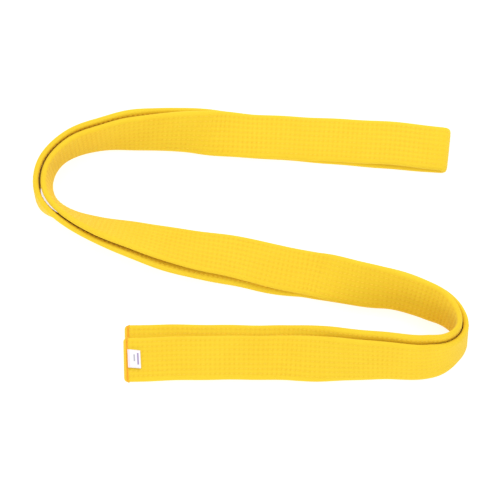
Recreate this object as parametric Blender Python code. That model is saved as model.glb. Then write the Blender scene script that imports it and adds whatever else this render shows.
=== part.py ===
"""A padded martial arts belt, folded in half at its middle and laid down in an S.

The belt is one long strap. Both halves follow the same route over the floor as a pair, one on the
other, from the fold at the middle of the belt to the two hemmed ends. The pair lies flat, rolls up
on its edge for each bend, and lies flat again, turned over, on its last run.

Metres, +Z up. The origin is under the middle of the laid belt, on the floor.

A place in the strap is given by three numbers: q, the length along the strap's middle from the end of
its first half, through the fold, to the end of its second half; a, across the strap; and b, out from
the middle of its thickness towards its face side.
"""

import math

import bmesh
import bpy
import numpy as np
from mathutils import Matrix, Vector

# ---------------------------------------------------------------- driving sizes
BELT_LENGTH = 2.200
BELT_WIDTH = 0.040
BELT_THICKNESS = 0.0056
COVER_WALL = 0.0005
MARGIN = 0.0028            # rounded margin at each edge, outside the flat of the faces
CLEARANCE = 0.0003         # left between pieces that touch
THREAD_CLEARANCE = 0.0004  # left on both sides of a stitch row, between the two plies
THREAD = 0.0003
ROW_COUNT = 8
EDGE_TO_ROW = 0.0046       # from the belt's edge to its outermost stitch row
LAYER_GAP = 0.0006         # between the two halves where they lie on each other

HEM_LENGTH = 0.0045        # closed end of turned-in cloth, beyond the sleeve of the cover
HEM_TONGUE = 0.0060        # its tongue, held inside the sleeve
HEM_CORNER = 0.0030        # how much narrower the very end is than the belt, on each side
HEM_EAR = 0.0008           # pointed corners of the hem, beyond the belt's width
SEAM_INSET = 0.0015        # seam across the end, from the inner edge of the hem
END_THREAD_WIDTH = 0.0005
FIRST_HALF_SHORT = 0.0013  # the first half stops this much before the second

LABEL_WIDTH = 0.0165
LABEL_LENGTH = 0.0112      # from its sewn root to its folded end
LABEL_TAPE = 0.00045       # thickness of the woven tape
LABEL_SLOT = 0.0003        # space inside the folded tape
LABEL_INSET = 0.0012       # its sewn root, from the seam across the end

# ---------------------------------------------------------------- what follows from them
HALF_WIDTH = BELT_WIDTH / 2
HALF_THICKNESS = BELT_THICKNESS / 2
FLAT = HALF_WIDTH - MARGIN                     # half the width of the flat faces
INNER_HALF = HALF_THICKNESS - COVER_WALL       # half the thickness inside the cover
PLY_OUTER = INNER_HALF - CLEARANCE
PLY_INNER = THREAD / 2 + THREAD_CLEARANCE
ROW_REACH = HALF_WIDTH - EDGE_TO_ROW           # outermost stitch row, from the middle
ROW_SPACING = 2 * ROW_REACH / (ROW_COUNT - 1)
END_SEAM = HEM_LENGTH - SEAM_INSET             # seam and label root, from the end of the belt
LABEL_ROOT = END_SEAM + LABEL_INSET
SLEEVE_START = HEM_LENGTH + CLEARANCE          # where the cover and the core begin, from the end
CORE_START = SLEEVE_START + HEM_TONGUE + CLEARANCE

# Steps between the sections of the strap: a new one after this much turn, twist or length.
TURN_STEP = math.radians(20)
TWIST_STEP = math.radians(11.5)
LENGTH_STEP = 0.090
NEAR = 0.0005               # sections closer than this are one
FOLD_STEPS = 8
DENSE = 1600                # samples of the route, before the sections are chosen from them
EDGE_EASE = 0.3             # rounds off the moment when the pair stands straight on its edge

# The route of the pair, from the fold to the ends. Each point: x and y in mm, the roll in degrees
# (0 lies flat with the first half on top, 90 and -90 stand on edge, -180 lies flat turned over),
# the lead of the first half over the second across the strap in mm, the extra opening between the
# halves in mm, and the splay in degrees by which the second half is rolled further than the first.
# The plan is scaled so that the belt comes out at its length.
ROUTE = [
    (167, 89.5, 0, 0.5, 0.8, 0),
    (132, 93, 0, -1.5, 0.3, 0),
    (87, 96.5, 0, -1, 0, 0),
    (43.5, 100, 0, 0.8, 0, 0),
    (8, 102, 0, 1.8, 0, 0),
    (-22, 103, 12, 1, 0, 0),
    (-50, 104, 42, -0.5, 0, 0),
    (-81, 104.5, 56, 1.5, 0, 0),
    (-105.5, 103, 65, 3, 0, 0),
    (-131, 98.8, 77.5, 2, 0.1, 0),
    (-152.5, 92, 82, 1, 0.1, 0.5),
    (-168.5, 81, 85.5, 0.5, 0.1, 2),
    (-178.7, 63.5, 83, 0, 0.1, 5),
    (-176.7, 41, 76.5, -1, 0.1, 10),
    (-160, 24.5, 67, -0.5, 0.1, 1.5),
    (-133.5, 13, 53, 0, 0.4, 0),
    (-98.5, 3, 37, 3.5, 0.6, 0),
    (-58, -6.5, 20, 5, 0.3, 0),
    (-2, -14.5, 5, 4.5, 0, 0),
    (34.5, -22, 0, 2.5, 0, 0),
    (51.5, -24.5, 0, 1, 0, 0),
    (71, -29.5, -15, 0.5, 0, 0),
    (100.5, -37, -34, 2, 0, 0),
    (129.5, -43.5, -51, 3.5, 0, 0),
    (156.5, -54, -56, 5, 0, 0),
    (174.5, -66.5, -72, 6.5, 0, 0),
    (182.5, -84, -90, 7, 0, 0),
    (174.5, -96, -100, 6, 0, 0),
    (156, -103.5, -117, 5.5, 0, 0),
    (116.5, -102.5, -126, 6, 0, 0),
    (83, -101, -139, 7, 0, 0),
    (55, -98.5, -160, 9, 0, 0),
    (28.5, -96, -176, 10.5, 0, 0),
    (0, -95, -180, 11.5, 0, 0),
    (-109.5, -96.5, -180, 13.5, 0, 0),
]


# ---------------------------------------------------------------- curves
def smooth_curve(knots, values, at):
    """Natural cubic spline through the rows of values at the knots, read at the places in at."""
    count = len(knots)
    step = np.diff(knots)
    system = np.eye(count)
    bend = np.zeros_like(values)
    for i in range(1, count - 1):
        system[i, i - 1 : i + 2] = (step[i - 1], 2 * (step[i - 1] + step[i]), step[i])
        rise = (values[i + 1] - values[i]) / step[i] - (values[i] - values[i - 1]) / step[i - 1]
        bend[i] = 6 * rise
    second = np.linalg.solve(system, bend)
    k = np.clip(np.searchsorted(knots, at, side="right") - 1, 0, count - 2)
    width = step[k][:, None]
    right = (at - knots[k])[:, None]
    left = width - right
    return (
        (second[k] * left**3 + second[k + 1] * right**3) / (6 * width)
        + (values[k] / width - second[k] * width / 6) * left
        + (values[k + 1] / width - second[k + 1] * width / 6) * right
    )


def eased_curve(knots, values, at):
    """Cubic curve through the values that never overshoots, and stays level between equal ones."""
    step = np.diff(knots)[:, None]
    slope = np.diff(values, axis=0) / step
    same_way = slope[:-1] * slope[1:] > 0
    before = np.where(same_way, slope[:-1], 1.0)
    after = np.where(same_way, slope[1:], 1.0)
    weight_before = 2 * step[1:] + step[:-1]
    weight_after = step[1:] + 2 * step[:-1]
    mean = (weight_before + weight_after) / (weight_before / before + weight_after / after)
    tangent = np.zeros_like(values)
    tangent[1:-1] = np.where(same_way, mean, 0.0)
    k = np.clip(np.searchsorted(knots, at, side="right") - 1, 0, len(knots) - 2)
    width = step[k]
    u = (at - knots[k])[:, None] / width
    return (
        (2 * u**3 - 3 * u**2 + 1) * values[k]
        + (u**3 - 2 * u**2 + u) * width * tangent[k]
        + (3 * u**2 - 2 * u**3) * values[k + 1]
        + (u**3 - u**2) * width * tangent[k + 1]
    )


def unit(vectors):
    """The rows of vectors, each at length 1."""
    return vectors / np.linalg.norm(vectors, axis=1)[:, None]


def path_length(points):
    """Length along the rows of points, from 0 at the first."""
    return np.concatenate([[0.0], np.cumsum(np.linalg.norm(np.diff(points, axis=0), axis=1))])


def strap_at_scale(scale):
    """Middle line of the whole strap, its across direction, its outward direction and its place on
    the route, as dense rows.

    The pair rests on the floor on its lower edge or face, so the roll gives its height. The first
    half lies on one side of the pair's middle and the second on the other, and half a turn about
    the across direction joins them at the fold. Where they are splayed, the second half is turned
    about its upper edge and keeps its lower edge on the floor. The place on the route counts from
    the fold, and is negative for the first half.
    """
    route = np.array(ROUTE, dtype=float)
    plan = route[:, :2] * 0.001 * scale
    knots = path_length(plan)
    at = np.linspace(0.0, knots[-1], DENSE)
    flat_path = smooth_curve(knots, plan, at)
    roll, lead, opening, splay = eased_curve(knots, route[:, 2:], at).T
    roll = np.radians(roll)
    splay = np.radians(splay)[:, None]
    lead = lead * 0.001
    apart = HALF_THICKNESS + LAYER_GAP / 2 + opening * 0.001

    upright = np.abs(np.cos(roll))
    upright = np.where(upright > EDGE_EASE, upright, (upright**2 + EDGE_EASE**2) / (2 * EDGE_EASE))
    on_edge = HALF_WIDTH - HALF_THICKNESS + np.abs(lead) / 2
    height = on_edge * np.abs(np.sin(roll)) + apart * upright + HALF_THICKNESS
    middle = np.column_stack([flat_path, height])

    along = unit(np.gradient(middle, axis=0))
    left = unit(np.cross((0.0, 0.0, 1.0), along))
    over = np.cross(along, left)
    sine = np.sin(roll)[:, None]
    cosine = np.cos(roll)[:, None]
    facing = cosine * over + sine * left
    across = cosine * left - sine * over

    shift = apart[:, None] * facing + lead[:, None] / 2 * across
    first = middle + shift
    second = middle - shift
    second_facing = np.cos(splay) * facing + np.sin(splay) * across
    second_across = np.cos(splay) * across - np.sin(splay) * facing
    top_kept = second + HALF_WIDTH * (second_across - across)
    sunk = (second + HALF_WIDTH * across - top_kept - HALF_WIDTH * second_across)[:, 2]
    second = top_kept
    second[:, 2] += sunk
    turn = np.linspace(0.0, math.pi, 6 * FOLD_STEPS + 1)[1:-1][:, None]
    round_out = np.cos(turn) * facing[0] - np.sin(turn) * along[0]
    fold = middle[0] + apart[0] * round_out + np.cos(turn) * lead[0] / 2 * across[0]
    fold_reach = math.pi / 2 * apart[0]
    in_fold = (turn[:, 0] / math.pi - 0.5) * 2 * fold_reach

    centre = np.concatenate([first[::-1], fold, second])
    side = np.concatenate([across[::-1], np.repeat(across[:1], len(turn), axis=0), second_across])
    out = np.concatenate([facing[::-1], round_out, -second_facing])
    route_place = np.concatenate([-(at + fold_reach)[::-1], in_fold, at + fold_reach])
    kept = path_length(centre) >= FIRST_HALF_SHORT
    return centre[kept], side[kept], out[kept], route_place[kept]


def lay_strap():
    """The strap at the scale that gives the belt its length, with q for each row."""
    scale = 1.0
    for _ in range(6):
        centre = strap_at_scale(scale)[0]
        scale *= BELT_LENGTH / path_length(centre)[-1]
    centre, side, out, route_place = strap_at_scale(scale)
    return path_length(centre), centre, side, out, route_place


PLACE, CENTRE, SIDE, OUT, ROUTE_PLACE = lay_strap()
END = PLACE[-1]


def frames(q):
    """Middle, across and outward directions of the strap at the places q."""
    q = np.atleast_1d(q)
    rows = []
    for table in (CENTRE, SIDE, OUT):
        rows.append(np.column_stack([np.interp(q, PLACE, table[:, i]) for i in range(3)]))
    return rows[0], unit(rows[1]), unit(rows[2])


def opposite(q):
    """The places of the other half that lie against the places q, across the gap between them."""
    return np.interp(-np.interp(q, PLACE, ROUTE_PLACE), ROUTE_PLACE, PLACE)


def choose_sections():
    """Places of the sections: close together where the strap turns or twists, far apart where not.
    Both halves have theirs at the same places on the route, so that they stay clear of each other."""
    length = np.diff(PLACE)
    along = unit(np.gradient(CENTRE, axis=0))
    turn = np.linalg.norm(np.diff(along, axis=0), axis=1)
    twist = np.abs(np.sum(np.diff(SIDE, axis=0) * OUT[:-1], axis=1))
    effort = np.sqrt((turn / TURN_STEP) ** 2 + (twist / TWIST_STEP) ** 2 + (length / LENGTH_STEP) ** 2)
    total = np.concatenate([[0.0], np.cumsum(effort)])
    fold = np.interp(0.0, ROUTE_PLACE, PLACE)
    from_fold = total - np.interp(fold, PLACE, total)
    count = int(math.ceil(from_fold[-1]))
    steps = np.linspace(0.0, from_fold[-1], count + 1)
    second = np.interp(steps, from_fold, PLACE)
    first = opposite(second[1:-1])
    return np.unique(np.concatenate([[0.0], first, second]))


def sections_with_ends(chosen):
    """The chosen sections together with the places where the sleeve and the core begin and end, on
    both halves, so that every piece has its sections at the same places on the route. A chosen one
    too near to an end is left out."""
    ends = np.array([SLEEVE_START, CORE_START, END - CORE_START, END - SLEEVE_START])
    inside = np.concatenate([ends, opposite(ends)])
    inside = inside[(inside > NEAR) & (inside < END - NEAR)]
    apart = np.abs(chosen[:, None] - inside[None, :]).min(axis=1)
    places = np.sort(np.concatenate([chosen[apart > NEAR], inside]))
    doubled = np.concatenate([[False], np.diff(places) < NEAR])
    given = np.abs(places[:, None] - ends[None, :]).min(axis=1) < 1e-9
    return places[~doubled | given]


def sections_between(start, stop):
    """The sections from start to stop, both of which are among them."""
    return SECTIONS[(SECTIONS > start - 1e-6) & (SECTIONS < stop + 1e-6)]


SECTIONS = sections_with_ends(choose_sections())


# ---------------------------------------------------------------- solids
def columns(reach):
    """Places across a face where its facets meet: the middle, halfway and the ends."""
    return [-reach, -2 * ROW_SPACING, 0.0, 2 * ROW_SPACING, reach]


def ring(reach, edge, top):
    """Outline of a section, counter-clockwise seen with a to the right and b up: flat faces out to
    reach at the heights -top and top, and one point at each edge."""
    lower = [(a, -top) for a in columns(reach)]
    upper = [(a, top) for a in reversed(columns(reach))]
    return np.array(lower + [(edge, 0.0)] + upper + [(-edge, 0.0)])


def slab(reach, low, high):
    """Outline of a section with two flat faces at the heights low and high."""
    lower = [(a, low) for a in columns(reach)]
    upper = [(a, high) for a in reversed(columns(reach))]
    return np.array(lower + upper)


def place_ring(outline, q):
    """The points of an outline, placed on the strap at q."""
    centre, side, out = (row[0] for row in frames(q))
    return centre + outline[:, :1] * side + outline[:, 1:] * out


def skin(outlines, places, first_index):
    """Triangles between neighbouring rings at the places on the strap. Facets are split along the
    same diagonal, seen from the fold, in every piece and in both halves, so that pieces which lie
    against each other stay parallel where the strap twists."""
    faces = []
    count = len(outlines[0])
    from_fold = np.abs(np.interp(places, PLACE, ROUTE_PLACE))
    for i in range(len(places) - 1):
        inwards = from_fold[i + 1] < from_fold[i]
        for k in range(count):
            nxt = (k + 1) % count
            here, there = first_index + i * count, first_index + (i + 1) * count
            if (outlines[i][k][0] < outlines[i][nxt][0]) == inwards:
                faces.append((here + k, here + nxt, there + nxt))
                faces.append((here + k, there + nxt, there + k))
            else:
                faces.append((here + k, here + nxt, there + k))
                faces.append((here + nxt, there + nxt, there + k))
    return faces


def add_object(name, vertices, faces):
    """A mesh object from points and faces, with its faces turned outwards."""
    mesh = bpy.data.meshes.new(name)
    mesh.from_pydata([tuple(v) for v in vertices], [], faces)
    shape = bmesh.new()
    shape.from_mesh(mesh)
    bmesh.ops.recalc_face_normals(shape, faces=shape.faces)
    shape.to_mesh(mesh)
    shape.free()
    mesh.shade_smooth()
    mesh.set_sharp_from_angle(angle=math.radians(40))
    item = bpy.data.objects.new(name, mesh)
    PARTS.objects.link(item)
    item.parent = ROOT
    return item


def loft(name, sections):
    """A solid strip carried along the strap through sections, each a place q and an outline."""
    outlines = [outline for _, outline in sections]
    vertices = np.concatenate([place_ring(outline, q) for q, outline in sections])
    count = len(outlines[0])
    last = len(vertices) - count
    faces = skin(outlines, [q for q, _ in sections], 0)
    faces.append(tuple(range(count)))
    faces.append(tuple(range(last, last + count)))
    return add_object(name, vertices, faces)


def strip(name, outline, start, stop):
    """A solid strip with one outline from start to stop."""
    return loft(name, [(q, outline) for q in sections_between(start, stop)])


def sleeve(name, outer, inner, start, stop):
    """A tube with a wall, open at both ends."""
    places = sections_between(start, stop)
    rings = len(places)
    count = len(outer)
    vertices = np.concatenate([place_ring(line, q) for line in (outer, inner) for q in places])
    faces = skin([outer] * rings, places, 0) + skin([inner] * rings, places, rings * count)
    for end in (0, (rings - 1) * count):
        for k in range(count):
            nxt = (k + 1) % count
            far = rings * count + end
            faces.append((end + k, end + nxt, far + nxt, far + k))
    return add_object(name, vertices, faces)


# ---------------------------------------------------------------- pieces
COVER_EDGE_SLOPE = math.hypot(MARGIN, HALF_THICKNESS) / HALF_THICKNESS


def make_cover():
    """The woven sleeve around the core."""
    outer = ring(FLAT, HALF_WIDTH, HALF_THICKNESS)
    inner = ring(FLAT, HALF_WIDTH - COVER_WALL * COVER_EDGE_SLOPE, INNER_HALF)
    return sleeve("cover", outer, inner, SLEEVE_START, END - SLEEVE_START)


def make_plies():
    """Two flat plies of padding, one against each face of the cover."""
    reach = FLAT - CLEARANCE
    face = strip("core_ply_face", slab(reach, PLY_INNER, PLY_OUTER), CORE_START, END - CORE_START)
    back = strip("core_ply_back", slab(reach, -PLY_OUTER, -PLY_INNER), CORE_START, END - CORE_START)
    return [face, back]


def make_stitch_row(index):
    """The locked thread of one quilting row, between the plies, from end to end."""
    middle = index * ROW_SPACING - ROW_REACH
    half = THREAD / 2
    outline = np.array([(middle - half, -half), (middle + half, -half), (middle, half)])
    return strip(f"stitch_row_{index + 1}", outline, CORE_START, END - CORE_START)


def make_hem(number, from_end):
    """Turned-in cloth that closes an end, with rounded corners, an ear at each side, a groove across
    each face for the end seam, and a tongue inside the sleeve. from_end gives q from the end."""
    seam_half = END_THREAD_WIDTH / 2 + CLEARANCE
    floor = HALF_THICKNESS - THREAD - CLEARANCE
    rounded = ring(FLAT - HEM_CORNER, HALF_WIDTH - HEM_CORNER, 0.64 * HALF_THICKNESS)
    near_end = ring(FLAT - 0.4 * HEM_CORNER, HALF_WIDTH - 0.3 * HEM_CORNER, 0.9 * HALF_THICKNESS)
    full = ring(FLAT, HALF_WIDTH, HALF_THICKNESS)
    grooved = ring(FLAT, HALF_WIDTH, floor)
    eared = ring(FLAT, HALF_WIDTH + HEM_EAR, HALF_THICKNESS)
    inside = ring(FLAT - 2 * CLEARANCE, FLAT + 0.3 * MARGIN, PLY_OUTER)
    sections = [
        (0.0, rounded),
        (0.15 * HEM_LENGTH, near_end),
        (0.40 * HEM_LENGTH, full),
        (END_SEAM - seam_half, full),
        (END_SEAM - seam_half, grooved),
        (END_SEAM + seam_half, grooved),
        (END_SEAM + seam_half, full),
        (HEM_LENGTH - CLEARANCE, eared),
        (HEM_LENGTH, full),
        (HEM_LENGTH, inside),
        (SLEEVE_START + HEM_TONGUE, inside),
    ]
    return loft(f"end_hem_{number}", [(from_end(distance), outline) for distance, outline in sections])


def make_end_stitches(number, from_end):
    """The two threads of the seam across an end, one in the groove of each face."""
    start = from_end(END_SEAM - END_THREAD_WIDTH / 2)
    stop = from_end(END_SEAM + END_THREAD_WIDTH / 2)
    inner = HALF_THICKNESS - THREAD
    face = slab(FLAT, inner, HALF_THICKNESS)
    back = slab(FLAT, -HALF_THICKNESS, -inner)
    return [
        loft(f"end_stitch_{number}_face", [(start, face), (stop, face)]),
        loft(f"end_stitch_{number}_back", [(start, back), (stop, back)]),
    ]


def rounded_bar(length, radius, steps=8):
    """Outline of a bar with round ends whose first round end is centred on the origin."""
    points = []
    for middle, begin in ((0.0, 90.0), (length - 2 * radius, -90.0)):
        for i in range(steps + 1):
            angle = math.radians(begin + 180.0 * i / steps)
            points.append((middle + radius * math.cos(angle), radius * math.sin(angle)))
    return points


def make_label():
    """Folded woven tape, sewn down at its root and free to flip up. Its origin is on the root's
    axis, its length runs along X towards the middle of the belt, and its width lies along Z."""
    radius = LABEL_TAPE + LABEL_SLOT / 2
    outline = bpy.data.curves.new("label", "CURVE")
    outline.dimensions = "2D"
    outline.fill_mode = "BOTH"
    outline.extrude = LABEL_WIDTH / 2
    slot_length = LABEL_LENGTH - 2 * LABEL_TAPE - 2 * radius
    slot = [(x + radius, y) for x, y in rounded_bar(slot_length, LABEL_SLOT / 2, 2)]
    for points in (rounded_bar(LABEL_LENGTH, radius), slot):
        spline = outline.splines.new("POLY")
        spline.points.add(len(points) - 1)
        for point, (x, y) in zip(spline.points, points):
            point.co = (x, y, 0.0, 1.0)
        spline.use_cyclic_u = True
    item = bpy.data.objects.new("label", outline)
    PARTS.objects.link(item)
    item.parent = ROOT

    centre, side, out = (Vector(row[0]) for row in frames(END - LABEL_ROOT))
    back = side.cross(out).normalized()
    towards_middle = Vector(frames(END - LABEL_ROOT - LABEL_LENGTH)[0][0]) - centre
    if back.dot(towards_middle) < 0:
        side = -side
        back = -back
    root = centre + (HALF_THICKNESS + CLEARANCE + radius) * out
    item.matrix_basis = Matrix.Translation(root) @ Matrix((back, out, side)).transposed().to_4x4()
    return item


# ---------------------------------------------------------------- materials
def finish(items, name, colour, roughness):
    """One Principled material, cloth or thread, for the given objects."""
    material = bpy.data.materials.new(name)
    material.use_nodes = True
    shader = material.node_tree.nodes["Principled BSDF"]
    shader.inputs["Base Color"].default_value = (*colour, 1.0)
    shader.inputs["Roughness"].default_value = roughness
    shader.inputs["Metallic"].default_value = 0.0
    for item in items:
        item.data.materials.append(material)


def clear_scene():
    """Takes every object out of the scene."""
    for item in list(bpy.data.objects):
        bpy.data.objects.remove(item, do_unlink=True)


def centre_on_floor(items):
    """Moves the whole belt so that the origin is under the middle of its box, on the floor."""
    bpy.context.view_layer.update()
    corners = []
    for item in items:
        if item.type == "MESH":
            corners.extend(item.matrix_world @ v.co for v in item.data.vertices)
    points = np.array(corners)
    low, high = points.min(axis=0), points.max(axis=0)
    ROOT.location = (-(low[0] + high[0]) / 2, -(low[1] + high[1]) / 2, -low[2])
    bpy.context.view_layer.update()


clear_scene()
PARTS = bpy.data.collections.new("martial_arts_belt")
bpy.context.scene.collection.children.link(PARTS)
ROOT = bpy.data.objects.new("belt_on_floor", None)
PARTS.objects.link(ROOT)

cover = make_cover()
plies = make_plies()
rows = [make_stitch_row(index) for index in range(ROW_COUNT)]
hems = [make_hem(1, lambda distance: distance), make_hem(2, lambda distance: END - distance)]
seams = make_end_stitches(1, lambda distance: distance)
seams += make_end_stitches(2, lambda distance: END - distance)
label = make_label()

finish([cover], "yellow_woven_cotton", (0.94, 0.63, 0.05), 0.85)
finish(hems, "yellow_turned_cloth", (0.92, 0.60, 0.045), 0.85)
finish(plies, "cotton_padding", (0.86, 0.84, 0.78), 0.95)
finish(rows, "quilting_thread", (0.93, 0.60, 0.05), 0.7)
finish(seams, "seam_thread", (0.88, 0.50, 0.03), 0.7)
finish([label], "white_label_tape", (0.85, 0.85, 0.88), 0.6)

centre_on_floor([cover, *plies, *rows, *hems, *seams])
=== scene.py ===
"""A padded martial arts belt: quilted yellow cotton, folded in half and laid in an S.

Every piece is a surface over the strap's own measures: q, the length along the middle of the strap
from the end of its first half, through the fold, to the end of its second half; a, across the strap;
and b, out from the middle of its thickness towards its face side. Metres, +Z up.
"""

import math

import bpy
import numpy as np
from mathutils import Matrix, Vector


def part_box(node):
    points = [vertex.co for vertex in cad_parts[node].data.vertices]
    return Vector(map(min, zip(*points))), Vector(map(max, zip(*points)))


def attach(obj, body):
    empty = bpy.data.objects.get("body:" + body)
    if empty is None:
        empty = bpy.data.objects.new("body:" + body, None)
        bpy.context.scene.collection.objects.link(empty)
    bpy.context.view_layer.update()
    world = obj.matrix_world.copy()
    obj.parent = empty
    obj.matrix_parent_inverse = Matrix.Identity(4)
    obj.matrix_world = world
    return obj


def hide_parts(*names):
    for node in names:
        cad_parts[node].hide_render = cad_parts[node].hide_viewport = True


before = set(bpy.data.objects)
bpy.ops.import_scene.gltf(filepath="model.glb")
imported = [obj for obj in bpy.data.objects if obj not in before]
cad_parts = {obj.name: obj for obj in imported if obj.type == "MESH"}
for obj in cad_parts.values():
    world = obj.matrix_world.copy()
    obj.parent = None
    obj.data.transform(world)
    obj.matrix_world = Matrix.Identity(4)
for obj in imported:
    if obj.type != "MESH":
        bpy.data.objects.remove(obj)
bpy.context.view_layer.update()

# ---------------------------------------------------------------- sizes, as in the frame
BELT_LENGTH = 2.200
BELT_WIDTH = 0.040
BELT_THICKNESS = 0.0056
LAYER_GAP = 0.0006
ROW_COUNT = 8
EDGE_TO_ROW = 0.0046
HEM_LENGTH = 0.0045
HEM_CORNER = 0.0030        # how much narrower the very end is than the belt, on each side
HEM_EAR = 0.0008           # pointed corners of the hem, beyond the belt's width
END_SEAM = 0.0030          # seam across the end, from the end
END_COVER = 0.0112         # where the padding begins, from the end
PLY_GAP = 0.00030          # from the middle of the belt to a ply of padding
PLY_TOP = 0.00165          # from the middle of the belt to the top of it
LABEL_WIDTH = 0.0165
LABEL_LENGTH = 0.0112      # from its sewn root to its folded end
LABEL_ROOT = 0.0042        # its sewn root, from the end
LABEL_TAPE = 0.00045
LABEL_SLOT = 0.0003
FIRST_HALF_SHORT = 0.0013

HALF_WIDTH = BELT_WIDTH / 2
HALF_THICKNESS = BELT_THICKNESS / 2
ROW_REACH = HALF_WIDTH - EDGE_TO_ROW
ROW_SPACING = 2 * ROW_REACH / (ROW_COUNT - 1)
STITCH = 0.0042            # length of one quilting stitch
GROOVE_DEPTH = 0.00011     # along a stitch row
CREASE_DEPTH = 0.00005     # across, at a needle hole
DIMPLE_DEPTH = 0.00015     # where both meet, on top of them
GROOVE_SHADE = 0.12        # how far each turns the cloth to its painted shade tone, from 0 to 1: painted shade in the quilting's hollows
CREASE_SHADE = 0.10
DIMPLE_SHADE = 0.32
SEAM_STITCHES = 26         # of the seam across an end
SEAM_MARGIN = 0.0022       # from the belt's edge to the first of them
THREAD_SIDES = 5
DENSE = 1600               # places along the route at which the pair is worked out
FOLD_STEPS = 8
EDGE_EASE = 0.3            # cosine of the roll below which the pair's height eases over

# The route of the pair from the fold to the ends: x and y in mm, roll in degrees, lead of the first
# half over the second across the strap in mm, extra opening between the halves in mm, and splay in
# degrees, by which the second half is rolled further than the first.
ROUTE = [
    (167, 89.5, 0, 0.5, 0.8, 0),
    (132, 93, 0, -1.5, 0.3, 0),
    (87, 96.5, 0, -1, 0, 0),
    (43.5, 100, 0, 0.8, 0, 0),
    (8, 102, 0, 1.8, 0, 0),
    (-22, 103, 12, 1, 0, 0),
    (-50, 104, 42, -0.5, 0, 0),
    (-81, 104.5, 56, 1.5, 0, 0),
    (-105.5, 103, 65, 3, 0, 0),
    (-131, 98.8, 77.5, 2, 0.1, 0),
    (-152.5, 92, 82, 1, 0.1, 0.5),
    (-168.5, 81, 85.5, 0.5, 0.1, 2),
    (-178.7, 63.5, 83, 0, 0.1, 5),
    (-176.7, 41, 76.5, -1, 0.1, 10),
    (-160, 24.5, 67, -0.5, 0.1, 1.5),
    (-133.5, 13, 53, 0, 0.4, 0),
    (-98.5, 3, 37, 3.5, 0.6, 0),
    (-58, -6.5, 20, 5, 0.3, 0),
    (-2, -14.5, 5, 4.5, 0, 0),
    (34.5, -22, 0, 2.5, 0, 0),
    (51.5, -24.5, 0, 1, 0, 0),
    (71, -29.5, -15, 0.5, 0, 0),
    (100.5, -37, -34, 2, 0, 0),
    (129.5, -43.5, -51, 3.5, 0, 0),
    (156.5, -54, -56, 5, 0, 0),
    (174.5, -66.5, -72, 6.5, 0, 0),
    (182.5, -84, -90, 7, 0, 0),
    (174.5, -96, -100, 6, 0, 0),
    (156, -103.5, -117, 5.5, 0, 0),
    (116.5, -102.5, -126, 6, 0, 0),
    (83, -101, -139, 7, 0, 0),
    (55, -98.5, -160, 9, 0, 0),
    (28.5, -96, -176, 10.5, 0, 0),
    (0, -95, -180, 11.5, 0, 0),
    (-109.5, -96.5, -180, 13.5, 0, 0),
]


# ---------------------------------------------------------------- camera
def add_camera():
    """A long lens looking down steeply from the front, level with the runs of the belt."""
    elevation = math.radians(72)
    across = 0.4383                         # width of the view at the belt
    aim = Vector((-0.0002, 0.0001, 0.0))    # the middle of the route, in the belt's own frame
    lens, sensor = 600.0, 36.0
    distance = across / (sensor / lens)
    data = bpy.data.cameras.new("camera")
    data.lens = lens
    data.sensor_width = sensor
    camera = bpy.data.objects.new("camera", data)
    bpy.context.scene.collection.objects.link(camera)
    back = Vector((0.0, -math.cos(elevation), math.sin(elevation)))
    camera.location = aim + back * distance
    camera.rotation_euler = (math.radians(90) - elevation, 0.0, 0.0)
    bpy.context.scene.camera = camera


add_camera()


# ---------------------------------------------------------------- the laid strap
def smooth_curve(knots, values, at):
    """Natural cubic spline through the rows of values at the knots, read at the places in at."""
    count = len(knots)
    step = np.diff(knots)
    system = np.eye(count)
    bend = np.zeros_like(values)
    for i in range(1, count - 1):
        system[i, i - 1 : i + 2] = (step[i - 1], 2 * (step[i - 1] + step[i]), step[i])
        rise = (values[i + 1] - values[i]) / step[i] - (values[i] - values[i - 1]) / step[i - 1]
        bend[i] = 6 * rise
    second = np.linalg.solve(system, bend)
    k = np.clip(np.searchsorted(knots, at, side="right") - 1, 0, count - 2)
    width = step[k][:, None]
    right = (at - knots[k])[:, None]
    left = width - right
    return (
        (second[k] * left**3 + second[k + 1] * right**3) / (6 * width)
        + (values[k] / width - second[k] * width / 6) * left
        + (values[k + 1] / width - second[k + 1] * width / 6) * right
    )


def eased_curve(knots, values, at):
    """Cubic curve through the values that never overshoots, and stays level between equal ones."""
    step = np.diff(knots)[:, None]
    slope = np.diff(values, axis=0) / step
    same_way = slope[:-1] * slope[1:] > 0
    before = np.where(same_way, slope[:-1], 1.0)
    after = np.where(same_way, slope[1:], 1.0)
    weight_before = 2 * step[1:] + step[:-1]
    weight_after = step[1:] + 2 * step[:-1]
    mean = (weight_before + weight_after) / (weight_before / before + weight_after / after)
    tangent = np.zeros_like(values)
    tangent[1:-1] = np.where(same_way, mean, 0.0)
    k = np.clip(np.searchsorted(knots, at, side="right") - 1, 0, len(knots) - 2)
    width = step[k]
    u = (at - knots[k])[:, None] / width
    return (
        (2 * u**3 - 3 * u**2 + 1) * values[k]
        + (u**3 - 2 * u**2 + u) * width * tangent[k]
        + (3 * u**2 - 2 * u**3) * values[k + 1]
        + (u**3 - u**2) * width * tangent[k + 1]
    )


def unit(vectors):
    """The last axis of vectors, each at length 1."""
    return vectors / np.linalg.norm(vectors, axis=-1, keepdims=True)


def path_length(points):
    """Length along the rows of points, from 0 at the first."""
    return np.concatenate([[0.0], np.cumsum(np.linalg.norm(np.diff(points, axis=0), axis=1))])


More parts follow.
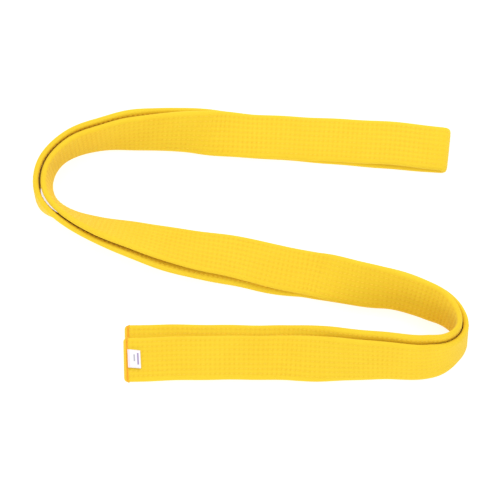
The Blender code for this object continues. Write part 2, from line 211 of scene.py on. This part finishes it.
def strap_at_scale(scale):
    """Middle line of the whole strap, its across direction and its outward direction, as dense rows:
    the pair of halves follows the route with its roll, resting on its lower edge or face, and half a
    turn about the across direction joins the halves at the fold. Where they are splayed, the second
    half is turned about its upper edge and keeps its lower edge on the floor."""
    route = np.array(ROUTE, dtype=float)
    plan = route[:, :2] * 0.001 * scale
    knots = path_length(plan)
    at = np.linspace(0.0, knots[-1], DENSE)
    flat_path = smooth_curve(knots, plan, at)
    roll, lead, opening, splay = eased_curve(knots, route[:, 2:], at).T
    roll = np.radians(roll)
    splay = np.radians(splay)[:, None]
    lead = lead * 0.001
    apart = HALF_THICKNESS + LAYER_GAP / 2 + opening * 0.001

    upright = np.abs(np.cos(roll))
    upright = np.where(upright > EDGE_EASE, upright, (upright**2 + EDGE_EASE**2) / (2 * EDGE_EASE))
    on_edge = HALF_WIDTH - HALF_THICKNESS + np.abs(lead) / 2
    height = on_edge * np.abs(np.sin(roll)) + apart * upright + HALF_THICKNESS
    middle = np.column_stack([flat_path, height])

    along = unit(np.gradient(middle, axis=0))
    left = unit(np.cross((0.0, 0.0, 1.0), along))
    over = np.cross(along, left)
    sine = np.sin(roll)[:, None]
    cosine = np.cos(roll)[:, None]
    facing = cosine * over + sine * left
    across = cosine * left - sine * over

    shift = apart[:, None] * facing + lead[:, None] / 2 * across
    first = middle + shift
    second = middle - shift
    second_facing = np.cos(splay) * facing + np.sin(splay) * across
    second_across = np.cos(splay) * across - np.sin(splay) * facing
    top_kept = second + HALF_WIDTH * (second_across - across)
    sunk = (second + HALF_WIDTH * across - top_kept - HALF_WIDTH * second_across)[:, 2]
    second = top_kept
    second[:, 2] += sunk
    turn = np.linspace(0.0, math.pi, 6 * FOLD_STEPS + 1)[1:-1][:, None]
    round_out = np.cos(turn) * facing[0] - np.sin(turn) * along[0]
    fold = middle[0] + apart[0] * round_out + np.cos(turn) * lead[0] / 2 * across[0]

    centre = np.concatenate([first[::-1], fold, second])
    side = np.concatenate([across[::-1], np.repeat(across[:1], len(turn), axis=0), second_across])
    out = np.concatenate([facing[::-1], round_out, -second_facing])
    kept = path_length(centre) >= FIRST_HALF_SHORT
    return centre[kept], side[kept], out[kept]


def lay_strap():
    """The strap at the scale that gives the belt its length, put where the frame has its cover."""
    scale = 1.0
    for _ in range(6):
        centre, side, out = strap_at_scale(scale)
        scale *= BELT_LENGTH / path_length(centre)[-1]
    centre, side, out = strap_at_scale(scale)
    reach = np.abs(side) * HALF_WIDTH
    low = (centre - reach).min(axis=0)
    high = (centre + reach).max(axis=0)
    cad_low, cad_high = (np.array(corner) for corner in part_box("cover"))
    move = (cad_low + cad_high - low - high) / 2
    move[2] = 0.0
    return path_length(centre), centre + move, side, out


PLACE, CENTRE, SIDE, OUT = lay_strap()
END = PLACE[-1]
ALONG = unit(np.gradient(CENTRE, PLACE, axis=0))
CURVING = np.gradient(ALONG, PLACE, axis=0)
SQUEEZE = np.sum(CURVING * OUT, axis=1)          # above 0 where the face side is the inner side of a bend
SQUEEZE = np.convolve(np.pad(SQUEEZE, 12, mode="edge"), np.ones(25) / 25, mode="valid")


def at_place(table, q):
    """The rows of a table of the strap, read at the places q."""
    if table.ndim == 1:
        return np.interp(q, PLACE, table)
    return np.stack([np.interp(q, PLACE, table[:, i]) for i in range(3)], axis=-1)


def on_strap(q, a, b):
    """The points at q along, a across and b out from the middle of the strap."""
    side = unit(at_place(SIDE, q))
    out = unit(at_place(OUT, q))
    return at_place(CENTRE, q) + np.asarray(a)[..., None] * side + np.asarray(b)[..., None] * out


# ---------------------------------------------------------------- meshes
def add_piece(name, points, faces, uv, shades=None):
    """A mesh object from a table of points and a table of faces, shaded smooth, with a UV place and an
    optional value for every point: painted shade in the quilting's hollows, and the band colour on the
    ends."""
    mesh = bpy.data.meshes.new(name)
    points = np.asarray(points, dtype=np.float32).reshape(-1, 3)
    faces = np.asarray(faces, dtype=np.int32)
    corners = faces.shape[1]
    mesh.vertices.add(len(points))
    mesh.vertices.foreach_set("co", points.ravel())
    mesh.loops.add(faces.size)
    mesh.loops.foreach_set("vertex_index", faces.ravel())
    mesh.polygons.add(len(faces))
    mesh.polygons.foreach_set("loop_start", np.arange(0, faces.size, corners, dtype=np.int32))
    mesh.update(calc_edges=True)
    mesh.validate()
    mesh.shade_smooth()
    layer = mesh.uv_layers.new(name="cloth")
    by_corner = np.asarray(uv, dtype=np.float32).reshape(-1, 2)[faces.ravel()]
    layer.data.foreach_set("uv", by_corner.ravel())
    # painted shade in the quilting's hollows, and the ends' band colour, as a value at every point
    if shades is not None:
        layer = mesh.attributes.new("hollow_shade_and_band", "FLOAT", "POINT")
        layer.data.foreach_set("value", np.asarray(shades, dtype=np.float32).ravel())
    piece = bpy.data.objects.new(name, mesh)
    bpy.context.scene.collection.objects.link(piece)
    return piece


def tube_faces(rings, around):
    """Quads between neighbouring rings of a tube, facing out where a ring runs from left to right
    along its lower side."""
    i = np.arange(rings - 1)[:, None]
    k = np.arange(around)[None, :]
    nxt = (k + 1) % around
    near, far = i * around, (i + 1) * around
    return np.stack([near + k, far + k, far + nxt, near + nxt], axis=-1).reshape(-1, 4)


def closed_tubes(count, rings, around, flip):
    """Triangles of a number of tubes laid one after another, each closed by a fan over each end, and
    turned over where flip is true."""
    quads = tube_faces(rings, around)
    fan = np.array([[0, k, k + 1] for k in range(1, around - 1)])
    far_fan = fan[:, ::-1] + (rings - 1) * around
    one = np.concatenate([quads[:, :3], quads[:, [0, 2, 3]], fan, far_fan])
    if flip:
        one = one[:, ::-1]
    return (np.arange(count)[:, None, None] * rings * around + one[None]).reshape(-1, 3)


# ---------------------------------------------------------------- the quilted cover
def face_columns():
    """Places across one face: each stitch row, each crest between rows, and the rounded margins."""
    rows = np.arange(2 * ROW_COUNT - 1) * ROW_SPACING / 2 - ROW_REACH
    margin = HALF_WIDTH - ROW_REACH
    outside = ROW_REACH + margin * np.array([0.45, 0.80, 0.96])
    return np.concatenate([-outside[::-1], rows, outside])


def quilting(q, a, squeeze):
    """How deep the cloth lies under its crest, and how much painted shade its hollows get, from 0 to 1: a
    groove along each stitch row, a crease across at each needle hole, and a dimple where they meet.
    Creases deepen where the face is squeezed by a bend and fade where it is stretched, and dimples vary
    softly in depth along the belt."""
    row = (a + ROW_REACH) / ROW_SPACING
    hole = (q - QUILT_START) / STITCH_STEP
    in_rows = np.clip((ROW_REACH + 0.35 * ROW_SPACING - np.abs(a)) / (0.35 * ROW_SPACING), 0.0, 1.0)
    groove = (0.5 + 0.5 * np.cos(2 * math.pi * row)) * in_rows
    crease = (0.5 + 0.5 * np.cos(2 * math.pi * hole)) ** 1.5
    margin_fade = np.clip((HALF_WIDTH - np.abs(a)) / (HALF_WIDTH - ROW_REACH), 0.0, 1.0) ** 1.3
    strength = np.clip(1.0 + 0.045 * squeeze, 0.15, 2.6)
    uneven = 1.0 + 0.30 * np.sin(q * 83.0 + a * 210.0) * np.sin(q * 29.0 - a * 95.0 + 0.7)
    dimple = groove * crease * uneven * np.clip(strength, 0.6, 1.4)
    fold = crease * strength * margin_fade
    depth = GROOVE_DEPTH * groove + CREASE_DEPTH * fold + DIMPLE_DEPTH * dimple
    # painted shade: a darker tone laid into the grooves, creases and dimples, where shade falls
    hollow_shade_and_band = np.clip(GROOVE_SHADE * groove + CREASE_SHADE * fold + DIMPLE_SHADE * dimple, 0, 1)
    return depth, hollow_shade_and_band


def crown(a):
    """Height of the padded face over the middle of the strap: almost flat, and rounded off close to
    the edges, as the root of one minus a high power of the place across."""
    share = np.clip(np.abs(a) / HALF_WIDTH, 0.0, 1.0)
    return HALF_THICKNESS * np.sqrt(1.0 - share**13) * (1.0 - 0.04 * share**2)


QUILT_START = HEM_LENGTH - 0.0004
QUILT_STOP = END - QUILT_START
STITCH_COUNT = int(round((QUILT_STOP - QUILT_START) / STITCH))
STITCH_STEP = (QUILT_STOP - QUILT_START) / STITCH_COUNT


def make_cover():
    """The quilted cover: rings of crown height less the quilting depth on both faces, carried along
    the strap four to a stitch. Slow sine waves along the belt plump it by up to 2% and move its edges
    by up to half a millimetre."""
    q = np.linspace(QUILT_START, QUILT_STOP, 4 * STITCH_COUNT + 1)
    a_face = face_columns()
    across = np.concatenate([a_face, [HALF_WIDTH], a_face[::-1], [-HALF_WIDTH]])
    sign = np.concatenate([-np.ones(len(a_face)), [0.0], np.ones(len(a_face)), [0.0]])
    grid_q, grid_a = np.meshgrid(q, across, indexing="ij")
    squeeze = at_place(SQUEEZE, q)[:, None] * sign[None, :]
    # the quilting's depth, and its painted shade in the hollows
    depth, hollow_shade_and_band = quilting(grid_q, grid_a, squeeze)
    plump = 1.0 + 0.018 * np.sin(grid_q * 61.0 + 1.3) * np.sin(grid_q * 23.0)
    height = sign[None, :] * (crown(grid_a) * plump - depth)
    wander = 0.00028 * np.sin(grid_q * 47.0 + 0.6) + 0.00018 * np.sin(grid_q * 131.0 + 2.1)
    points = on_strap(grid_q, grid_a + wander, height)
    rings, around = grid_q.shape
    faces = tube_faces(rings, around)
    half = len(a_face)
    caps = []            # of quads, and of triangles with their last corner twice
    for ring in (0, rings - 1):
        first = ring * around
        low = first + np.arange(half)
        high = first + half + 1 + np.arange(half)[::-1]
        cap = np.stack([low[:-1], low[1:], high[1:], high[:-1]], axis=-1)
        ends = np.array([
            [low[-1], first + half, high[-1], high[-1]],
            [low[0], high[0], first + 2 * half + 1, first + 2 * half + 1],
        ])
        cap = np.concatenate([cap, ends])
        caps.append(cap if ring == 0 else cap[:, ::-1])
    uv = np.stack([grid_q, grid_a + 0.045 * (sign[None, :] > 0)], axis=-1)
    cap = np.concatenate(caps)
    triangles = np.concatenate([cap[:, :3], cap[:, [0, 2, 3]]])
    triangles = triangles[(triangles[:, 1] != triangles[:, 2]) & (triangles[:, 0] != triangles[:, 2])]
    sides = np.concatenate([faces[:, :3], faces[:, [0, 2, 3]]])
    return add_piece("quilted_cover", points, np.concatenate([sides, triangles]), uv, hollow_shade_and_band)


# ---------------------------------------------------------------- quilting stitches
def make_stitch_row(index):
    """One row's stitches on both faces: a thin lens of thread from each needle hole to the next,
    rising from the hole, lying along the bottom of the groove, and going down again."""
    a = index * ROW_SPACING - ROW_REACH
    along = np.array([0.10, 0.26, 0.5, 0.74, 0.90])
    thick = np.array([0.35, 0.9, 1.0, 0.9, 0.35]) * 0.00019
    sink = np.array([0.00026, 0.00004, 0.0, 0.00004, 0.00026])
    turn = np.arange(THREAD_SIDES) * 2 * math.pi / THREAD_SIDES
    number = np.arange(STITCH_COUNT)
    q = QUILT_START + (number[:, None] + along[None, :]) * STITCH_STEP
    points, faces, uv = [], [], []
    base = 0
    for face in (1.0, -1.0):
        squeeze = at_place(SQUEEZE, q) * face
        depth, _ = quilting(q, np.full_like(q, a), squeeze)
        deepest = GROOVE_DEPTH + CREASE_DEPTH + DIMPLE_DEPTH + 0.00003
        bed = crown(np.full_like(q, a)) - np.minimum(depth, deepest) - sink + 0.00004
        around_a = a + thick[None, :, None] * np.cos(turn)[None, None, :]
        around_b = face * (bed[:, :, None] + thick[None, :, None] * np.sin(turn)[None, None, :])
        grid_q = np.broadcast_to(q[:, :, None], around_b.shape)
        grid_a = np.broadcast_to(around_a, around_b.shape)
        points.append(on_strap(grid_q, grid_a, around_b).reshape(-1, 3))
        uv.append(np.stack([grid_q, grid_a], axis=-1).reshape(-1, 2))
        faces.append(closed_tubes(*grid_q.shape, flip=face < 0) + base)
        base += grid_q.size
    name = f"quilting_{index + 1}"
    return add_piece(name, np.concatenate(points), np.concatenate(faces), np.concatenate(uv))


# ---------------------------------------------------------------- padding and ends
def loft_between(name, q, outline, shades=None):
    """A closed strip carried through the places q, with one row of (a, b) points of its outline for
    each place, counter-clockwise seen with a to the right and b up. Both ends are closed by fans."""
    outline = np.asarray(outline)
    rings, around = outline.shape[:2]
    grid_q = np.repeat(q[:, None], around, axis=1)
    points = on_strap(grid_q, outline[..., 0], outline[..., 1])
    faces = closed_tubes(1, rings, around, flip=q[0] > q[-1])
    uv = np.stack([grid_q, outline[..., 0] + outline[..., 1]], axis=-1)
    if shades is None:
        shades = np.zeros(rings * around)
    return add_piece(name, points, faces, uv, shades)


def make_ply(name, low, high):
    """One flat ply of padding inside the cover, between the heights low and high."""
    q = np.arange(END_COVER, END - END_COVER, STITCH)
    reach = ROW_REACH + 0.0010
    a = np.linspace(-reach, reach, 7)
    outline = np.stack([np.concatenate([a, a[::-1]]), np.repeat([low, high], len(a))], axis=-1)
    return loft_between(name, q, np.broadcast_to(outline, (len(q), *outline.shape)))


def superellipse(half_width, half_height, around=56, power=5.5):
    """Outline of a flat padded section with well rounded edges, counter-clockwise."""
    turn = np.arange(around) * 2 * math.pi / around - 0.75 * math.pi
    cosine, sine = np.cos(turn), np.sin(turn)
    across = half_width * np.sign(cosine) * np.abs(cosine) ** (2 / power)
    up = half_height * np.sign(sine) * np.abs(sine) ** 0.8
    return np.stack([across, up], axis=-1)


def make_end_cloth(number, from_end):
    """The turned-in end: a rolled edge with rounded corners, a sewn groove across it with a band of
    deeper colour about it, a slight pucker beside the groove, and a small ear at each side where the
    folded corners stick out."""
    edge = 0.0024              # depth of the rolled edge
    corner_depth = 0.0034
    rolled = np.linspace(0.0, edge - 0.0002, 12)
    distance = np.concatenate([rolled, np.linspace(edge, HEM_LENGTH + 0.0002, 14)])
    share = np.clip(distance / edge, 0.0, 1.0)
    corner = np.clip(distance / corner_depth, 0.0, 1.0)
    width = HALF_WIDTH - 1.15 * HEM_CORNER * (1.0 - np.sqrt(1.0 - (1.0 - corner) ** 2))
    ear = HEM_EAR * np.exp(-(((distance - HEM_LENGTH + 0.0004) / 0.0006) ** 2))
    roll = np.sqrt(1.0 - 0.86 * (1.0 - share) ** 2)
    groove = 0.00042 * np.exp(-(((distance - END_SEAM) / 0.00042) ** 2))
    height = HALF_THICKNESS * roll - groove
    outline = np.stack([superellipse(w, h) for w, h in zip(width + ear, height)])
    beside = np.exp(-(((distance[:, None] - END_SEAM - 0.0007) / 0.0006) ** 2))
    pucker = 0.00010 * np.sin(outline[..., 0] * 2 * math.pi / 0.0021) * beside
    outline[..., 1] = outline[..., 1] + np.sign(outline[..., 1]) * pucker
    band = np.exp(-(((distance - END_SEAM) / 0.0011) ** 4))
    shades = np.repeat(band[:, None], outline.shape[1], axis=1)
    return loft_between(f"turned_end_{number}", from_end(distance), outline, shades)


def make_end_seam(name, from_end, face):
    """Stitches of the seam across an end, side by side in its groove: short slanting lenses of
    thread, each five-sided."""
    pitch = 2 * (HALF_WIDTH - SEAM_MARGIN) / SEAM_STITCHES
    along = np.linspace(-0.46, 0.46, 7)
    thick = 0.00021 * np.sqrt(1.0 - (along / 0.5) ** 2)
    turn = np.arange(THREAD_SIDES) * 2 * math.pi / THREAD_SIDES
    shape = (SEAM_STITCHES, len(along), THREAD_SIDES)
    middle = -HALF_WIDTH + SEAM_MARGIN + pitch * (np.arange(SEAM_STITCHES) + 0.5)
    a = np.broadcast_to(middle[:, None, None] + pitch * along[None, :, None], shape)
    away = END_SEAM + 0.00016 * along[:, None] + thick[:, None] * np.cos(turn)
    rise = HALF_THICKNESS - 0.00030 + thick[:, None] * np.sin(turn)
    b = face * np.broadcast_to(rise, shape)
    q = from_end(np.broadcast_to(away, shape))
    points = on_strap(q, a, b)
    faces = closed_tubes(*shape, flip=face * (q[0, 0, 0] - END / 2) > 0)
    return add_piece(name, points, faces, np.stack([a, q], axis=-1))


def make_label():
    """The folded woven label, as one closed loop of thin tape: it starts at the sewn root, runs to
    the folded end, turns half round and comes back underneath. It is a little skewed, and bows up by
    a fraction of a millimetre in the middle of its length."""
    root = at_place(CENTRE, END - LABEL_ROOT)
    side = unit(at_place(SIDE, END - LABEL_ROOT))
    out = unit(at_place(OUT, END - LABEL_ROOT))
    inwards = unit(at_place(CENTRE, END - LABEL_ROOT - LABEL_LENGTH) - root)
    radius = LABEL_TAPE + LABEL_SLOT / 2
    root = root + (HALF_THICKNESS + 0.0003 + radius) * out
    straight = np.linspace(0.0, 1.0, 15)
    bend = np.linspace(0.0, math.pi, 9)[1:-1]
    length = LABEL_LENGTH - 2 * radius

    def loop(offset):
        """The tape's line at an offset from its middle line, as places along and heights."""
        r = radius - LABEL_TAPE / 2 + offset
        top = np.stack([straight * length, np.full(15, r)], axis=-1)
        far = np.stack([length + r * np.sin(bend), r * np.cos(bend)], axis=-1)
        under = np.stack([straight[::-1] * length, np.full(15, -r)], axis=-1)
        near = np.stack([-r * np.sin(bend), -r * np.cos(bend)], axis=-1)
        return np.concatenate([top, far, under, near])

    half = LABEL_TAPE / 2
    across = np.linspace(-1.0, 1.0, 17)
    side_sign = 1.0 if side[1] > 0 else -1.0
    tape = path_length(loop(0.0))
    points, uv = [], []
    for offset in (half, -half):
        line = loop(offset)
        u = np.clip(line[:, 0] / length, 0.0, 1.0)[:, None]
        bow = 0.00022 * np.sin(math.pi * u) * (1.0 - 0.5 * across[None, :] ** 2)
        lift = bow + 0.00006 * np.sin(9 * u)
        v = across[None, :] * (LABEL_WIDTH / 2 - 0.00015 * u) - 0.0012 * (u - 0.3)
        along = line[:, :1] - 0.00018 * across[None, :]
        height = line[:, 1:] + np.maximum(lift, 0.0)
        flat = root + along[..., None] * inwards + (side_sign * v)[..., None] * side
        points.append(flat + height[..., None] * out)
        uv.append(np.stack([np.repeat(tape[:, None], len(across), axis=1), v], axis=-1))
    rings, columns = len(tape), len(across)
    i = np.arange(rings)[:, None]
    k = np.arange(columns - 1)[None, :]
    nxt = (i + 1) % rings
    near, far = i * columns + k, nxt * columns + k
    outer = np.stack([near, far, far + 1, near + 1], axis=-1).reshape(-1, 4)
    inner = outer[:, ::-1] + rings * columns
    i = np.arange(rings)
    nxt = (i + 1) % rings
    shift = rings * columns
    left = np.stack([i * columns, i * columns + shift, nxt * columns + shift, nxt * columns], axis=-1)
    last = columns - 1
    right = left[:, ::-1] + last
    faces = np.concatenate([outer, inner, left, right])
    normal = np.cross(points[0][1, 0] - points[0][0, 0], points[0][0, 1] - points[0][0, 0])
    if normal @ out < 0:
        faces = faces[:, ::-1]
    return add_piece("woven_label", np.concatenate(points), faces, np.concatenate(uv))


# ---------------------------------------------------------------- materials
def node_material(name):
    """An empty node material with a Principled shader, its nodes and its links."""
    material = bpy.data.materials.new(name)
    material.use_nodes = True
    tree = material.node_tree
    return material, tree.nodes, tree.links, tree.nodes["Principled BSDF"]


def woven_cotton(name, light, deep, shade_and_band_colour, weave=0.00062):
    """Matt woven cotton: two tones of the dye in soft patches, painted shade in the hollows of the
    quilting (on the turned ends, their band of deeper colour), a plain weave as crossing ribs, and a
    little fuzz."""
    material, nodes, links, shader = node_material(name)
    place = nodes.new("ShaderNodeTexCoord")
    patches = nodes.new("ShaderNodeTexNoise")
    patches.inputs["Scale"].default_value = 38.0
    patches.inputs["Detail"].default_value = 3.0
    links.new(place.outputs["Object"], patches.inputs["Vector"])
    tone = nodes.new("ShaderNodeMix")
    tone.data_type = "RGBA"
    tone.inputs["A"].default_value = (*light, 1.0)
    tone.inputs["B"].default_value = (*deep, 1.0)
    spread = nodes.new("ShaderNodeMapRange")
    spread.inputs["From Min"].default_value = 0.35
    spread.inputs["From Max"].default_value = 0.70
    links.new(patches.outputs["Fac"], spread.inputs["Value"])
    links.new(spread.outputs["Result"], tone.inputs["Factor"])

    # painted shade: the per-point value mixes in a darker tone in the quilting's hollows; on the ends it
    # mixes in their band colour
    hollow_shade_and_band = nodes.new("ShaderNodeAttribute")
    hollow_shade_and_band.attribute_name = "hollow_shade_and_band"
    shade_and_band_mix = nodes.new("ShaderNodeMix")
    shade_and_band_mix.data_type = "RGBA"
    shade_and_band_mix.inputs["B"].default_value = (*shade_and_band_colour, 1.0)
    links.new(hollow_shade_and_band.outputs["Fac"], shade_and_band_mix.inputs["Factor"])
    links.new(tone.outputs["Result"], shade_and_band_mix.inputs["A"])

    flat = nodes.new("ShaderNodeUVMap")
    flat.uv_map = "cloth"
    ribs = []
    for direction in ("X", "Y"):
        wave = nodes.new("ShaderNodeTexWave")
        wave.bands_direction = direction
        wave.wave_profile = "SIN"
        wave.inputs["Scale"].default_value = 0.314 / weave
        wave.inputs["Distortion"].default_value = 0.6
        wave.inputs["Detail"].default_value = 1.0
        links.new(flat.outputs["UV"], wave.inputs["Vector"])
        ribs.append(wave)
    cloth = nodes.new("ShaderNodeMath")
    cloth.operation = "MULTIPLY"
    links.new(ribs[0].outputs["Fac"], cloth.inputs[0])
    links.new(ribs[1].outputs["Fac"], cloth.inputs[1])

    weave_shade = nodes.new("ShaderNodeMix")
    weave_shade.data_type = "RGBA"
    weave_shade.blend_type = "MULTIPLY"
    weave_shade.inputs["Factor"].default_value = 0.16
    links.new(shade_and_band_mix.outputs["Result"], weave_shade.inputs["A"])
    links.new(cloth.outputs["Value"], weave_shade.inputs["B"])
    links.new(weave_shade.outputs["Result"], shader.inputs["Base Color"])

    fuzz = nodes.new("ShaderNodeTexNoise")
    fuzz.inputs["Scale"].default_value = 2600.0
    fuzz.inputs["Detail"].default_value = 2.0
    links.new(place.outputs["Object"], fuzz.inputs["Vector"])
    relief = nodes.new("ShaderNodeMath")
    relief.operation = "MULTIPLY_ADD"
    relief.inputs[1].default_value = 0.35
    links.new(fuzz.outputs["Fac"], relief.inputs[0])
    links.new(cloth.outputs["Value"], relief.inputs[2])
    bump = nodes.new("ShaderNodeBump")
    bump.inputs["Strength"].default_value = 0.35
    bump.inputs["Distance"].default_value = 0.00012
    links.new(relief.outputs["Value"], bump.inputs["Height"])
    links.new(bump.outputs["Normal"], shader.inputs["Normal"])

    shader.inputs["Roughness"].default_value = 0.82
    shader.inputs["Specular IOR Level"].default_value = 0.25
    shader.inputs["Sheen Weight"].default_value = 0.18
    shader.inputs["Sheen Roughness"].default_value = 0.45
    shader.inputs["Sheen Tint"].default_value = (1.0, 0.86, 0.42, 1.0)
    return material


def twisted_thread(name, light, dark):
    """Spun thread: fine slanting bands of two tones along its length."""
    material, nodes, links, shader = node_material(name)
    flat = nodes.new("ShaderNodeUVMap")
    flat.uv_map = "cloth"
    ply = nodes.new("ShaderNodeTexWave")
    ply.bands_direction = "DIAGONAL"
    ply.inputs["Scale"].default_value = 500.0
    ply.inputs["Distortion"].default_value = 0.5
    links.new(flat.outputs["UV"], ply.inputs["Vector"])
    tone = nodes.new("ShaderNodeMix")
    tone.data_type = "RGBA"
    tone.inputs["A"].default_value = (*dark, 1.0)
    tone.inputs["B"].default_value = (*light, 1.0)
    links.new(ply.outputs["Fac"], tone.inputs["Factor"])
    links.new(tone.outputs["Result"], shader.inputs["Base Color"])
    bump = nodes.new("ShaderNodeBump")
    bump.inputs["Strength"].default_value = 0.4
    bump.inputs["Distance"].default_value = 0.00008
    links.new(ply.outputs["Fac"], bump.inputs["Height"])
    links.new(bump.outputs["Normal"], shader.inputs["Normal"])
    shader.inputs["Roughness"].default_value = 0.7
    shader.inputs["Sheen Weight"].default_value = 0.1
    return material


def woven_label(name):
    """White satin-woven tape with fine ribs across, a faint rosy tint near its root, and two plain
    woven bars across it, one grey and one violet."""
    material, nodes, links, shader = node_material(name)
    flat = nodes.new("ShaderNodeUVMap")
    flat.uv_map = "cloth"
    split = nodes.new("ShaderNodeSeparateXYZ")
    links.new(flat.outputs["UV"], split.inputs["Vector"])

    def calculate(operation, first, second):
        """A math node on two values, each a socket or a number."""
        node = nodes.new("ShaderNodeMath")
        node.operation = operation
        for socket, value in zip(node.inputs, (first, second)):
            if isinstance(value, float):
                socket.default_value = value
            else:
                links.new(value, socket)
        return node.outputs["Value"]

    def bar(along, half_thick, across, half_long):
        """1 inside a bar centred at a place along and across the tape, 0 outside, with soft edges."""
        off_along = calculate("ABSOLUTE", calculate("SUBTRACT", split.outputs["X"], along), 0.0)
        off_across = calculate("ABSOLUTE", calculate("SUBTRACT", split.outputs["Y"], across), 0.0)
        inside_along = calculate("SUBTRACT", half_thick, off_along)
        inside_across = calculate("SUBTRACT", half_long, off_across)
        inside = calculate("MINIMUM", inside_along, inside_across)
        soft = calculate("MULTIPLY_ADD", inside, 9000.0)
        soft.node.inputs[2].default_value = 0.5
        soft.node.use_clamp = True
        return soft

    colour = None
    steps = (
        (bar(0.0, 0.0012, 0.0, 0.02), (0.86, 0.66, 0.70), 0.8),
        (bar(0.0051, 0.0006, 0.0006, 0.0031), (0.34, 0.34, 0.40), 0.85),
        (bar(0.0083, 0.0007, -0.0004, 0.0053), (0.27, 0.17, 0.42), 0.85),
    )
    for mask, ink, amount in steps:
        mix = nodes.new("ShaderNodeMix")
        mix.data_type = "RGBA"
        links.new(calculate("MULTIPLY", mask, amount), mix.inputs["Factor"])
        if colour is None:
            mix.inputs["A"].default_value = (0.87, 0.86, 0.90, 1.0)
        else:
            links.new(colour, mix.inputs["A"])
        mix.inputs["B"].default_value = (*ink, 1.0)
        colour = mix.outputs["Result"]
    ribs = nodes.new("ShaderNodeTexWave")
    ribs.bands_direction = "Y"
    ribs.inputs["Scale"].default_value = 900.0
    ribs.inputs["Distortion"].default_value = 0.4
    links.new(flat.outputs["UV"], ribs.inputs["Vector"])
    shade = nodes.new("ShaderNodeMix")
    shade.data_type = "RGBA"
    shade.blend_type = "MULTIPLY"
    shade.inputs["Factor"].default_value = 0.10
    links.new(colour, shade.inputs["A"])
    links.new(ribs.outputs["Fac"], shade.inputs["B"])
    links.new(shade.outputs["Result"], shader.inputs["Base Color"])
    bump = nodes.new("ShaderNodeBump")
    bump.inputs["Strength"].default_value = 0.3
    bump.inputs["Distance"].default_value = 0.00006
    links.new(ribs.outputs["Fac"], bump.inputs["Height"])
    links.new(bump.outputs["Normal"], shader.inputs["Normal"])
    shader.inputs["Roughness"].default_value = 0.5
    shader.inputs["Sheen Weight"].default_value = 0.15
    return material


# the third colour is the painted shade tone of the quilting's hollows; for the turned ends it is the band
# colour about their seam, and the padding never shows it
COTTON = woven_cotton("yellow_cotton", (0.95, 0.665, 0.028), (0.94, 0.635, 0.024), (0.86, 0.49, 0.012))
TURNED = woven_cotton("turned_cotton", (0.95, 0.64, 0.040), (0.92, 0.60, 0.034), (0.96, 0.45, 0.020))
PADDING = woven_cotton("undyed_padding", (0.86, 0.84, 0.78), (0.80, 0.78, 0.72), (0.6, 0.58, 0.52))
THREAD = twisted_thread("yellow_thread", (0.98, 0.66, 0.05), (0.90, 0.55, 0.03))
SEAM_THREAD = twisted_thread("deep_yellow_thread", (0.97, 0.52, 0.025), (0.90, 0.42, 0.018))
LABEL = woven_label("white_woven_tape")


def dress(piece, material, body, slot, *stands_for):
    """Gives a piece its material and its body, and hides the nodes it stands for. The slot is not used.
    """
    piece.data.materials.append(material)
    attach(piece, body)
    if stands_for:
        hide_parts(*stands_for)
    return piece


cover = dress(make_cover(), COTTON, "belt", "cover_cloth", "cover")
face_ply = make_ply("padding_face", PLY_GAP, PLY_TOP)
back_ply = make_ply("padding_back", -PLY_TOP, -PLY_GAP)
dress(face_ply, PADDING, "belt", "core_padding", "core_ply_face")
dress(back_ply, PADDING, "belt", "core_padding", "core_ply_back")
for index in range(ROW_COUNT):
    dress(make_stitch_row(index), THREAD, "belt", "quilting_thread", f"stitch_row_{index + 1}")
for number, from_end in ((1, lambda distance: distance), (2, lambda distance: END - distance)):
    dress(make_end_cloth(number, from_end), TURNED, "belt", "hem_cloth", f"end_hem_{number}")
    for word, face in (("face", 1.0), ("back", -1.0)):
        seam = make_end_seam(f"end_seam_{number}_{word}", from_end, face)
        dress(seam, SEAM_THREAD, "belt", "seam_thread", f"end_stitch_{number}_{word}")
label = dress(make_label(), LABEL, "label", "label_tape", "label")


# ---------------------------------------------------------------- floor and light
def add_floor():
    """A plain white floor, bright enough to read as paper white."""
    half = 3.0
    mesh = bpy.data.meshes.new("floor")
    corners = [(-half, -half, 0), (half, -half, 0), (half, half, 0), (-half, half, 0)]
    mesh.from_pydata(corners, [], [(0, 1, 2, 3)])
    floor = bpy.data.objects.new("floor", mesh)
    bpy.context.scene.collection.objects.link(floor)
    material, nodes, links, shader = node_material("white_floor")
    shader.inputs["Base Color"].default_value = (0.40, 0.40, 0.40, 1.0)
    shader.inputs["Roughness"].default_value = 1.0
    shader.inputs["Specular IOR Level"].default_value = 0.0
    shader.inputs["Emission Color"].default_value = (1.0, 1.0, 1.0, 1.0)
    shader.inputs["Emission Strength"].default_value = 0.78
    mesh.materials.append(material)


def add_light(name, place, size, power):
    """A square soft light at a place, aimed at the belt."""
    data = bpy.data.lights.new(name, "AREA")
    data.size = size
    data.energy = power
    light = bpy.data.objects.new(name, data)
    bpy.context.scene.collection.objects.link(light)
    light.location = place
    light.rotation_mode = "QUATERNION"
    light.rotation_quaternion = (-Vector(place)).to_track_quat("-Z", "Y")


def add_sky():
    """Even white light from all round."""
    world = bpy.data.worlds.new("soft_room")
    world.use_nodes = True
    back = world.node_tree.nodes["Background"]
    back.inputs["Color"].default_value = (1.0, 1.0, 1.0, 1.0)
    back.inputs["Strength"].default_value = 0.97
    bpy.context.scene.world = world


add_floor()
add_sky()
add_light("overhead", (0.4, 1.2, 1.4), 1.2, 12.5)
add_light("front_fill", (-0.6, -1.9, 0.25), 1.4, 13.0)
bpy.context.scene.view_settings.view_transform = "Standard"
